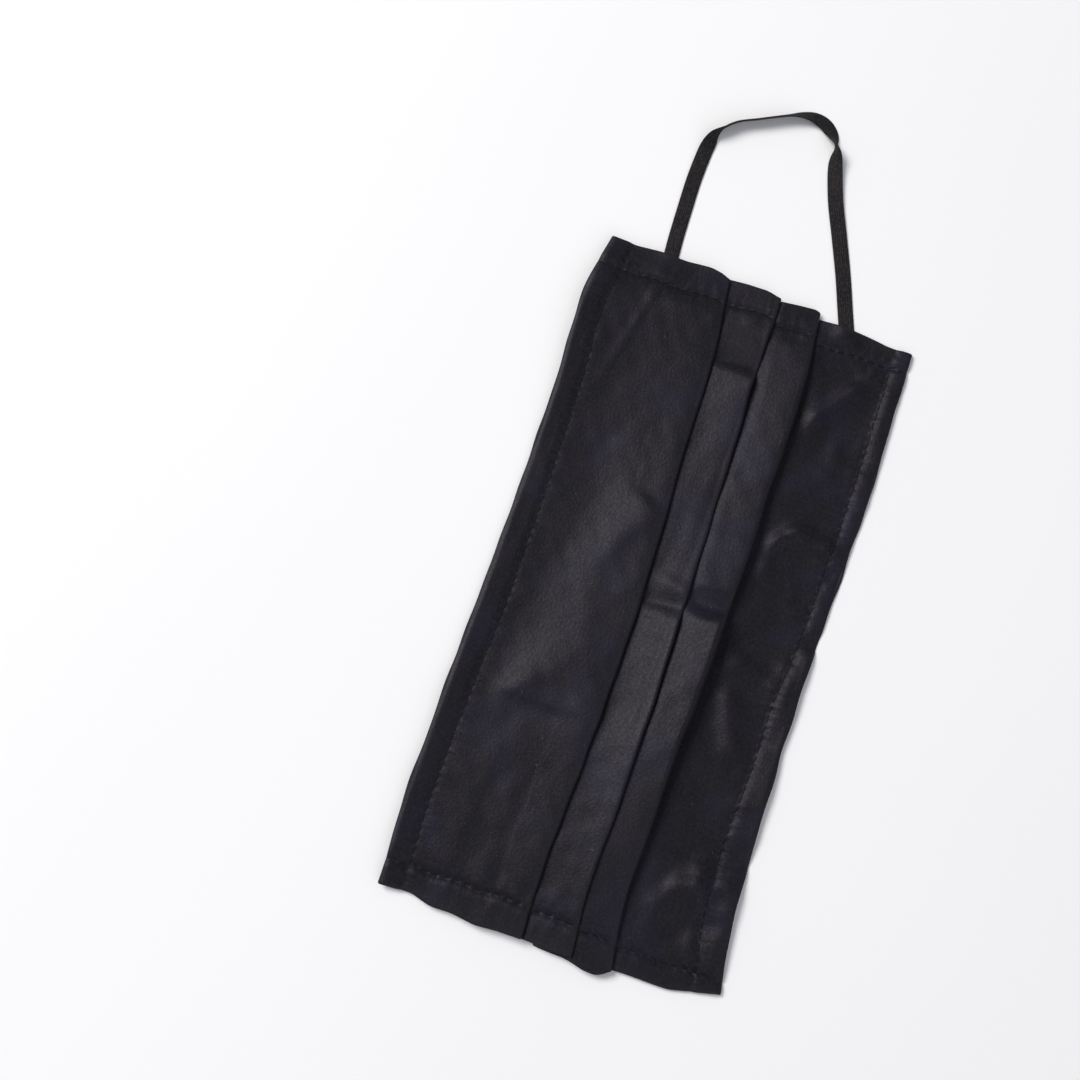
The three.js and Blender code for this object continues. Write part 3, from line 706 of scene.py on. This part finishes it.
def build_band(name, rows, lift=None):
    """Flat braided elastic: ribs along its length, each a plait of small stitches."""
    path, at = smooth_path(rows, 0.25)
    n = len(at)
    tan = np.gradient(path[:, :2], axis=0)
    tan /= np.linalg.norm(tan, axis=1, keepdims=True)
    a = np.radians(path[:, 2])
    side = np.stack([-tan[:, 1], tan[:, 0], 0 * a], -1)
    up = np.array([0, 0, 1.0])
    wide = side * np.cos(a)[:, None] + up * np.sin(a)[:, None]
    thick = -side * np.sin(a)[:, None] + up * np.cos(a)[:, None]
    centre = np.stack([path[:, 0], path[:, 1], 0.03 + np.abs(np.sin(a)) * BAND_W / 2 + np.abs(np.cos(a)) * BAND_T / 2], -1)
    if lift is not None:
        centre[:, 2] += lift(at, at[-1])
    # section: w across the band, h its half thickness
    k = 41
    w = np.sin(np.linspace(math.pi / 2, -math.pi / 2, k))          # closer at the edges
    ribs = 7
    ring = []
    for sign in (1, -1):
        ww = w if sign > 0 else w[::-1]
        prof = np.sqrt(np.maximum(0, 1 - np.abs(ww) ** 5)) * 0.19
        rib = 0.5 + 0.5 * np.cos(2 * math.pi * (ww * ribs / 2 + (0.5 if ribs % 2 == 0 else 0.0)))
        cell = np.floor((ww + 1) * ribs / 2).clip(0, ribs - 1)
        ring.append((ww, prof, rib, cell, sign))
    verts = []
    for i in range(n):
        for ww, prof, rib, cell, sign in ring:
            phase = 2 * math.pi * at[i] / 0.95 + np.where(cell % 2 == 0, 0, math.pi)
            lean = (ww * ribs / 2) % 1.0 * 2.4 * np.where(cell % 2 == 0, 1, -1)
            plait = 0.5 + 0.5 * np.sin(phase + lean)
            inside = np.sqrt(np.maximum(0, 1 - np.abs(ww) ** 5))
            h = prof + inside * (0.07 * rib + 0.06 * rib * plait)
            pts = centre[i] + np.outer(ww * BAND_W / 2, wide[i]) + np.outer(sign * h, thick[i])
            if sign > 0:
                verts.append(pts)
            else:
                verts.append(pts[1:-1])
    m = k + k - 2
    verts = np.concatenate(verts)
    verts[:, 2] = np.maximum(verts[:, 2], 0.01)
    idx = np.arange(n * m).reshape(n, m)
    b = np.roll(idx, -1, axis=1)
    quads = np.stack([idx[:-1], idx[1:], b[1:], b[:-1]], -1).reshape(-1, 4)
    faces = [list(q) for q in quads] + [list(map(int, idx[0])), list(map(int, idx[-1][::-1]))]
    ob = make_mesh(name, verts * MM, faces)
    import bmesh
    bm = bmesh.new()
    bm.from_mesh(ob.data)
    bmesh.ops.recalc_face_normals(bm, faces=bm.faces)
    bm.to_mesh(ob.data)
    bm.free()
    # lengthwise and crosswise coordinates for the yarn's bump
    v = np.tile(np.concatenate([w, w[::-1][1:-1]]), n)
    u = np.repeat(at, m)
    layer = ob.data.uv_layers.new(name="weave")
    loops = np.empty(len(ob.data.loops), int)
    ob.data.loops.foreach_get("vertex_index", loops)
    layer.data.foreach_set("uv", np.stack([u[loops] / 400.0, 0.5 + v[loops] * BAND_W / 800.0], -1).ravel())
    return ob, centre * MM, at[-1] * MM


near_loop, near_path, near_len = build_band(
    "ear_loop_open", OPEN_LOOP,
    lambda at, total: 0.02 + 0 * at)
far_loop, far_path, far_len = build_band(
    "ear_loop_tucked", tucked_route(),
    lambda at, total: 0.5 * np.exp(-((at / 2.0) ** 2)) + 0.5 * np.exp(-(((total - at) / 2.0) ** 2)))

body = build_body()
bpy.context.view_layer.update()


# ------------------------------------------------------------------ stitching
def tree_of(ob):
    me = ob.data
    return BVHTree.FromPolygons([v.co.copy() for v in me.vertices], [tuple(p.vertices) for p in me.polygons])


TREE = tree_of(body)


def drop(x, y, down=True):
    """Point and normal of the cloth at x, y, seen from above or from below."""
    z = 0.05 if down else -0.05
    hit = TREE.ray_cast(Vector((x * MM, y * MM, z)), Vector((0, 0, -1 if down else 1)))
    return hit[0], hit[1]


def seam_lines():
    """Each seam as points x, y on the table plan."""
    out = []
    s = np.linspace(-0.985, 0.985, 700)
    for name in ("nose", "chin"):
        y0 = column(LINES, name, s)
        d = column(SEAM, name, s)
        sign = -1 if name == "nose" else 1
        y = y0 + sign * d + 0.12 * ripple(s * 93, 0 * s, 401, 14, 60)
        x = x_at(name, name, 0, s)
        a, b = HEM_X["panel1" if name == "nose" else "panel4"]
        keep = (x > a - 0.5) & (x < b + 0.5)
        out.append(np.stack([x[keep], y[keep]], -1))
    spans = dict(panel1=("nose", "fold1"), strip1=("fold1", "fold2"), strip2=("fold2", "fold3"), panel4=("fold3", "chin"))
    for k, s_end in ((0, -0.9), (1, 0.9)):
        for panel, (top, low) in spans.items():
            y_top = float(column(LINES, top, s_end))
            y_low = float(column(LINES, low, s_end))
            if top == "nose":
                y_top -= float(column(SEAM, "nose", s_end))
            if low == "chin":
                y_low += float(column(SEAM, "chin", s_end))
            y = np.linspace(y_top - (0.5 if top != "nose" else 0), y_low + (1.2 if low != "chin" else 0), 120)
            w = 0.25 * np.sin(y * (0.5, 0.43)[k] + (1.0, 2.0)[k])
            out.append(np.stack([HEM_X[panel][k] + w, y], -1))
    return out


def build_stitches(name, under, seed):
    rng = np.random.default_rng(seed)
    verts, faces = [], []
    sides, rings = 6, 7
    for line in seam_lines():
        d = np.concatenate([[0], np.cumsum(np.linalg.norm(np.diff(line, axis=0), axis=1))])
        pos = 0.4
        while pos + 2.3 < d[-1]:
            length = 2.25 + rng.uniform(-0.15, 0.15)
            slant = rng.uniform(-0.10, 0.10)
            centre = []
            for t in np.linspace(0, 1, rings):
                q = pos + t * length
                x, y = np.interp(q, d, line[:, 0]), np.interp(q, d, line[:, 1])
                x2, y2 = np.interp(q + 0.2, d, line[:, 0]), np.interp(q + 0.2, d, line[:, 1])
                tx, ty = x2 - x, y2 - y
                tl = math.hypot(tx, ty) or 1.0
                nx, ny = -ty / tl, tx / tl
                off = slant * (t - 0.5) * 2
                hit, nor = drop(x + nx * off, y + ny * off, not under)
                if hit is None:
                    break
                lift = 0.16 * math.sin(math.pi * t) ** 0.6 - 0.10
                sgn = -1 if under else 1
                centre.append(Vector((hit.x, hit.y, hit.z)) / MM + Vector((0, 0, sgn * lift)))
            pos += 2.8 + rng.uniform(-0.08, 0.08)
            if len(centre) < rings:
                continue
            base = len(verts)
            for i, c in enumerate(centre):
                a = centre[max(0, i - 1)]
                b = centre[min(rings - 1, i + 1)]
                tan = (b - a).normalized()
                s1 = tan.cross(Vector((0, 0, 1))).normalized()
                s2 = s1.cross(tan)
                r = 0.17 * (0.55 if i in (0, rings - 1) else 1.0)
                for k in range(sides):
                    ang = 2 * math.pi * k / sides
                    v = c + s1 * (r * math.cos(ang)) + s2 * (r * 0.85 * math.sin(ang))
                    verts.append((v.x * MM, v.y * MM, max(v.z, 0.02) * MM))
            for i in range(rings - 1):
                for k in range(sides):
                    k2 = (k + 1) % sides
                    faces.append((base + i * sides + k, base + (i + 1) * sides + k, base + (i + 1) * sides + k2, base + i * sides + k2))
            faces.append(tuple(base + k for k in range(sides)))
            faces.append(tuple(base + (rings - 1) * sides + k for k in reversed(range(sides))))
    ob = make_mesh(name, verts, faces)
    import bmesh
    bm = bmesh.new()
    bm.from_mesh(ob.data)
    bmesh.ops.recalc_face_normals(bm, faces=bm.faces)
    bm.to_mesh(ob.data)
    bm.free()
    return ob


stitches = build_stitches("topstitching", False, 51)
under_stitches = build_stitches("understitching", True, 52)

# ------------------------------------------------------------------ lint
LINT_AT = [(55.6, 37.1), (-49.1, 16.3), (-41.7, 16.8), (-31.8, 26.4), (-64.3, -4.6), (71.6, 20.9), (45.4, 26.2),
           (40.3, 25.5), (35.9, 16.9), (68.3, -27.3), (-78.9, 39.4), (-85.4, 39.0), (81.6, 1.5), (83.4, -40.5)]


def build_lint():
    rng = np.random.default_rng(61)
    spots = [(x, y, 1.0) for x, y in LINT_AT]
    for _ in range(70):
        spots.append((rng.uniform(-88, 88), rng.uniform(-41, 43), 0.55))
    verts, faces = [], []
    sides, rings = 4, 6
    for x, y, big in spots:
        ang, bend = rng.uniform(0, 2 * math.pi), rng.uniform(-2.2, 2.2)
        length = big * rng.uniform(0.5, 1.3)
        centre = []
        px, py = x, y
        for i in range(rings):
            hit, nor = drop(px, py)
            if hit is None:
                break
            centre.append(Vector(hit) / MM + Vector((0, 0, 0.05 + 0.05 * math.sin(math.pi * i / (rings - 1)))))
            a = ang + bend * i / rings
            px += math.cos(a) * length / rings
            py += math.sin(a) * length / rings
        if len(centre) < rings:
            continue
        base = len(verts)
        for i, c in enumerate(centre):
            a, b = centre[max(0, i - 1)], centre[min(rings - 1, i + 1)]
            tan = (b - a).normalized()
            s1 = tan.cross(Vector((0, 0, 1))).normalized()
            s2 = s1.cross(tan)
            r = (0.050 if big > 0.9 else 0.030) * (0.5 if i in (0, rings - 1) else 1.0)
            for k in range(sides):
                q = c + s1 * (r * math.cos(2 * math.pi * k / sides)) + s2 * (r * math.sin(2 * math.pi * k / sides))
                verts.append(tuple(q * MM))
        for i in range(rings - 1):
            for k in range(sides):
                k2 = (k + 1) % sides
                faces.append((base + i * sides + k, base + (i + 1) * sides + k, base + (i + 1) * sides + k2, base + i * sides + k2))
        faces.append(tuple(base + k for k in range(sides)))
        faces.append(tuple(base + (rings - 1) * sides + k for k in reversed(range(sides))))
    return make_mesh("lint", verts, faces)


lint = build_lint()


# ------------------------------------------------------------------ materials
class Nodes:
    def __init__(self, name):
        self.mat = bpy.data.materials.new(name)
        self.mat.use_nodes = True
        self.t = self.mat.node_tree
        self.t.nodes.clear()
        self.out = self.add("ShaderNodeOutputMaterial")
        self.bsdf = self.add("ShaderNodeBsdfPrincipled")
        self.link(self.bsdf.outputs["BSDF"], self.out.inputs["Surface"])

    def add(self, kind, **props):
        n = self.t.nodes.new(kind)
        for k, v in props.items():
            setattr(n, k, v)
        return n

    def link(self, a, b):
        self.t.links.new(a, b)

    def math(self, op, a, b=None, c=None):
        n = self.add("ShaderNodeMath", operation=op)
        for i, v in enumerate((a, b, c)):
            if v is None:
                continue
            if isinstance(v, (int, float)):
                n.inputs[i].default_value = v
            else:
                self.link(v, n.inputs[i])
        return n.outputs[0]

    def mix(self, fac, a, b):
        n = self.add("ShaderNodeMix", data_type="RGBA")
        for sock, v in ((n.inputs[0], fac), (n.inputs[6], a), (n.inputs[7], b)):
            if isinstance(v, (int, float)):
                sock.default_value = v
            elif isinstance(v, tuple):
                sock.default_value = (*v, 1.0)
            else:
                self.link(v, sock)
        return n.outputs[2]

    def noise(self, vec, scale, detail=2.0, rough=0.5):
        n = self.add("ShaderNodeTexNoise")
        n.inputs["Scale"].default_value = scale
        n.inputs["Detail"].default_value = detail
        n.inputs["Roughness"].default_value = rough
        self.link(vec, n.inputs["Vector"])
        return n.outputs["Fac"]

    def scaled(self, vec, x, y, z):
        n = self.add("ShaderNodeMapping")
        n.inputs["Scale"].default_value = (x, y, z)
        self.link(vec, n.inputs["Vector"])
        return n.outputs[0]

    def ramp(self, fac, lo, hi):
        n = self.add("ShaderNodeMapRange", interpolation_type="SMOOTHSTEP")
        n.inputs["From Min"].default_value = lo
        n.inputs["From Max"].default_value = hi
        self.link(fac, n.inputs["Value"])
        return n.outputs[0]


def cotton():
    n = Nodes("cotton_black")
    uv = n.add("ShaderNodeUVMap", uv_map="weave").outputs[0]
    sep = n.add("ShaderNodeSeparateXYZ")
    n.link(uv, sep.inputs[0])
    pitch = 0.46
    turns = 2 * math.pi * 400.0 / pitch
    obj = n.add("ShaderNodeTexCoord").outputs["Object"]
    # threads wander a little
    wander = n.noise(n.scaled(uv, 900, 900, 900), 1.0, 2.0)
    wob = n.math("MULTIPLY", wander, 1.6)
    su = n.math("SINE", n.math("ADD", n.math("MULTIPLY", sep.outputs[0], turns), wob))
    sv = n.math("SINE", n.math("ADD", n.math("MULTIPLY", sep.outputs[1], turns), wob))
    weave = n.math("MULTIPLY", su, sv)
    slub_u = n.noise(n.scaled(uv, 160, 2600, 1), 1.0, 3.0, 0.6)
    slub_v = n.noise(n.scaled(uv, 2600, 160, 1), 1.0, 3.0, 0.6)
    grain = n.noise(n.scaled(uv, 1500, 1500, 1), 1.0, 3.0, 0.65)
    cloud = n.noise(n.scaled(obj, 55, 55, 55), 1.0, 4.0, 0.55)
    tint = n.noise(n.scaled(obj, 58, 58, 58), 1.0, 2.0, 0.5)
    coarse = n.noise(n.scaled(uv, 560, 560, 1), 1.0, 2.5, 0.58)
    painted_glint_speck = n.noise(n.scaled(uv, 980, 980, 1), 1.0, 1.0, 0.5)
    wear_and_rim_highlight = n.add("ShaderNodeAttribute", attribute_name="wear_and_rim_highlight").outputs["Fac"]
    base = n.mix(n.ramp(cloud, 0.32, 0.70), (0.0034, 0.0032, 0.0043), (0.0062, 0.0058, 0.0080))
    base = n.mix(n.math("MULTIPLY", n.ramp(tint, 0.48, 0.66), 0.85), base, (0.0066, 0.0058, 0.0142))
    mottle = n.noise(n.scaled(uv, 430, 430, 1), 1.0, 1.4, 0.5)
    base = n.mix(n.math("MULTIPLY", n.ramp(mottle, 0.32, 0.70), 0.30), base, (0.0222, 0.0208, 0.0252))
    thread = n.ramp(grain, 0.35, 0.75)
    base = n.mix(n.math("MULTIPLY", thread, 0.32), base, (0.0125, 0.0118, 0.0150))
    # Painted highlight: sparse bright specks in the base colour stand in for fibre glints.
    base = n.mix(n.math("MULTIPLY", n.ramp(painted_glint_speck, 0.68, 0.80), 0.9), base, (0.046, 0.044, 0.050))
    # Paler on worn edges; along the nose edge this paleness is a painted highlight of the lit rolled rim.
    rim_lit_and_worn = n.math("MULTIPLY", n.math("MULTIPLY", wear_and_rim_highlight, n.ramp(grain, 0.30, 0.65)), 0.50)
    base = n.mix(rim_lit_and_worn, base, (0.024, 0.023, 0.027))
    n.link(base, n.bsdf.inputs["Base Color"])
    rough = n.math("ADD", n.math("MULTIPLY", slub_u, 0.08), n.math("ADD", n.math("MULTIPLY", cloud, 0.08), 0.39))
    rough = n.math("SUBTRACT", rough, n.math("MULTIPLY", n.ramp(mottle, 0.32, 0.70), 0.06))
    n.link(rough, n.bsdf.inputs["Roughness"])
    n.bsdf.inputs["Specular IOR Level"].default_value = 0.172
    n.bsdf.inputs["Specular Tint"].default_value = (0.94, 0.88, 1.0, 1.0)
    n.bsdf.inputs["Sheen Weight"].default_value = 0.02
    n.bsdf.inputs["Sheen Roughness"].default_value = 0.45
    n.bsdf.inputs["Sheen Tint"].default_value = (0.80, 0.80, 1.0, 1.0)
    h = n.math("ADD", n.math("MULTIPLY", weave, 0.30), n.math("MULTIPLY", grain, 0.4))
    h = n.math("ADD", h, n.math("ADD", n.math("MULTIPLY", slub_u, 0.6), n.math("MULTIPLY", slub_v, 0.6)))
    h = n.math("ADD", h, n.math("MULTIPLY", coarse, 3.6))
    # gathers across the seams, and a dimple at every stitch
    off_h = n.add("ShaderNodeAttribute", attribute_name="off_h").outputs["Fac"]
    off_v = n.add("ShaderNodeAttribute", attribute_name="off_v").outputs["Fac"]
    xyz = n.add("ShaderNodeSeparateXYZ")
    n.link(obj, xyz.inputs[0])
    for off, axis, swap, high in ((off_h, xyz.outputs[0], (1, 0), 17.0), (off_v, xyz.outputs[1], (0, 1), 6.0)):
        scale = (430, 70, 1) if swap == (1, 0) else (70, 430, 1)
        tick = n.noise(n.scaled(obj, *scale), 1.0, 2.0, 0.5)
        near = n.math("POWER", 2.718, n.math("MULTIPLY", n.math("MULTIPLY", off, off), -0.075))
        h = n.math("ADD", h, n.math("MULTIPLY", n.math("MULTIPLY", tick, near), high))
        stitch = n.math("COSINE", n.math("MULTIPLY", axis, 2 * math.pi / 0.0028))
        line = n.math("POWER", 2.718, n.math("MULTIPLY", n.math("MULTIPLY", off, off), -2.6))
        lively = n.math("MULTIPLY", n.ramp(n.noise(n.scaled(obj, 300, 300, 1), 1.0, 1.0, 0.5), 0.3, 0.6), 3.6)
        h = n.math("ADD", h, n.math("MULTIPLY", n.math("MULTIPLY", stitch, line), lively))
    bump = n.add("ShaderNodeBump")
    bump.inputs["Strength"].default_value = 0.60
    bump.inputs["Distance"].default_value = 0.00004
    n.link(h, bump.inputs["Height"])
    n.link(bump.outputs[0], n.bsdf.inputs["Normal"])
    return n.mat


def elastic():
    n = Nodes("elastic_black")
    uv = n.add("ShaderNodeUVMap", uv_map="weave").outputs[0]
    obj = n.add("ShaderNodeTexCoord").outputs["Object"]
    fine = n.noise(n.scaled(uv, 1200, 3600, 1), 1.0, 3.0, 0.6)
    cloud = n.noise(n.scaled(obj, 120, 120, 120), 1.0, 3.0, 0.55)
    fuzz = n.noise(n.scaled(obj, 2600, 2600, 2600), 1.0, 2.0, 0.6)
    cell = n.noise(n.scaled(uv, 420, 680, 1), 1.0, 1.0, 0.5)
    base = n.mix(n.ramp(cloud, 0.3, 0.7), (0.0040, 0.0036, 0.0040), (0.0085, 0.0078, 0.0078))
    base = n.mix(n.math("MULTIPLY", n.ramp(cell, 0.50, 0.62), 0.8), base, (0.020, 0.019, 0.020))
    base = n.mix(n.math("MULTIPLY", n.ramp(fuzz, 0.52, 0.70), 0.6), base, (0.034, 0.032, 0.033))
    n.link(base, n.bsdf.inputs["Base Color"])
    n.link(n.math("ADD", n.math("MULTIPLY", fine, 0.18), 0.56), n.bsdf.inputs["Roughness"])
    n.bsdf.inputs["Specular IOR Level"].default_value = 0.20
    n.bsdf.inputs["Specular Tint"].default_value = (1.0, 0.91, 0.95, 1.0)
    n.bsdf.inputs["Sheen Weight"].default_value = 0.02
    n.bsdf.inputs["Sheen Roughness"].default_value = 0.4
    bump = n.add("ShaderNodeBump")
    bump.inputs["Strength"].default_value = 0.6
    bump.inputs["Distance"].default_value = 0.00016
    n.link(n.math("ADD", fine, n.math("MULTIPLY", fuzz, 0.5)), bump.inputs["Height"])
    n.link(bump.outputs[0], n.bsdf.inputs["Normal"])
    return n.mat


def thread():
    n = Nodes("thread_black")
    obj = n.add("ShaderNodeTexCoord").outputs["Object"]
    twist = n.noise(n.scaled(obj, 5200, 5200, 5200), 1.0, 2.0, 0.6)
    cloud = n.noise(n.scaled(obj, 240, 240, 240), 1.0, 2.0, 0.5)
    base = n.mix(n.ramp(twist, 0.35, 0.7), (0.0025, 0.0025, 0.0055), (0.0085, 0.0080, 0.0150))
    base = n.mix(n.math("MULTIPLY", n.ramp(cloud, 0.58, 0.72), 0.6), base, (0.018, 0.017, 0.026))
    n.link(base, n.bsdf.inputs["Base Color"])
    n.link(n.math("ADD", n.math("MULTIPLY", twist, 0.2), 0.42), n.bsdf.inputs["Roughness"])
    n.bsdf.inputs["Specular IOR Level"].default_value = 0.14
    bump = n.add("ShaderNodeBump")
    bump.inputs["Strength"].default_value = 0.5
    bump.inputs["Distance"].default_value = 0.00006
    n.link(twist, bump.inputs["Height"])
    n.link(bump.outputs[0], n.bsdf.inputs["Normal"])
    return n.mat


def lint_mat():
    n = Nodes("lint_pale")
    obj = n.add("ShaderNodeTexCoord").outputs["Object"]
    cloud = n.noise(n.scaled(obj, 90, 90, 90), 1.0, 2.0, 0.5)
    n.link(n.mix(n.ramp(cloud, 0.35, 0.65), (0.06, 0.06, 0.06), (0.22, 0.21, 0.22)), n.bsdf.inputs["Base Color"])
    n.bsdf.inputs["Roughness"].default_value = 0.9
    return n.mat


def floor_mat():
    n = Nodes("floor_pale")
    obj = n.add("ShaderNodeTexCoord").outputs["Object"]
    cloud = n.noise(n.scaled(obj, 3, 3, 3), 1.0, 3.0, 0.5)
    n.link(n.mix(cloud, (0.86, 0.86, 0.86), (0.90, 0.90, 0.895)), n.bsdf.inputs["Base Color"])
    n.bsdf.inputs["Roughness"].default_value = 0.85
    n.bsdf.inputs["Specular IOR Level"].default_value = 0.2
    return n.mat


def finish_piece(ob, mat):
    ob.data.materials.clear()
    ob.data.materials.append(mat)
    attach(ob, "root")


cotton_mat = cotton()
thread_mat = thread()
elastic_mat = elastic()
finish_piece(body, cotton_mat)
finish_piece(stitches, thread_mat)
finish_piece(under_stitches, thread_mat)
finish_piece(lint, lint_mat())
finish_piece(near_loop, elastic_mat)
finish_piece(far_loop, elastic_mat)
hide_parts("mask_body")
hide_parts("ear_loop_near")
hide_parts("ear_loop_far")

# ------------------------------------------------------------------ floor and light
bpy.ops.mesh.primitive_plane_add(size=6.0, location=(0, 0, 0))
floor = bpy.context.object
floor.name = "floor"
floor.data.materials.append(floor_mat())


def area(name, where, aim, size, power, colour=(1, 1, 1), size_y=None):
    d = bpy.data.lights.new(name, "AREA")
    d.energy = power
    d.color = colour
    d.size = size
    if size_y:
        d.shape = "RECTANGLE"
        d.size_y = size_y
    ob = bpy.data.objects.new(name, d)
    scene.collection.objects.link(ob)
    ob.location = where
    ob.rotation_euler = (Vector(aim) - Vector(where)).to_track_quat("-Z", "Y").to_euler()
    return ob


area("key", (0.345, 1.06, 1.30), (0.02, 0.0, 0.0), 0.8, 26.0, (1.0, 0.985, 0.97))
area("fill", (-0.9, -0.9, 1.2), (0.0, 0.0, 0.0), 1.6, 7.0, (0.93, 0.95, 1.0))
world = bpy.data.worlds.new("studio")
scene.world = world
world.use_nodes = True
bg = world.node_tree.nodes["Background"]
bg.inputs["Color"].default_value = (0.90, 0.92, 1.0, 1.0)
bg.inputs["Strength"].default_value = 0.34
scene.view_settings.view_transform = "Standard"
scene.view_settings.look = "None"
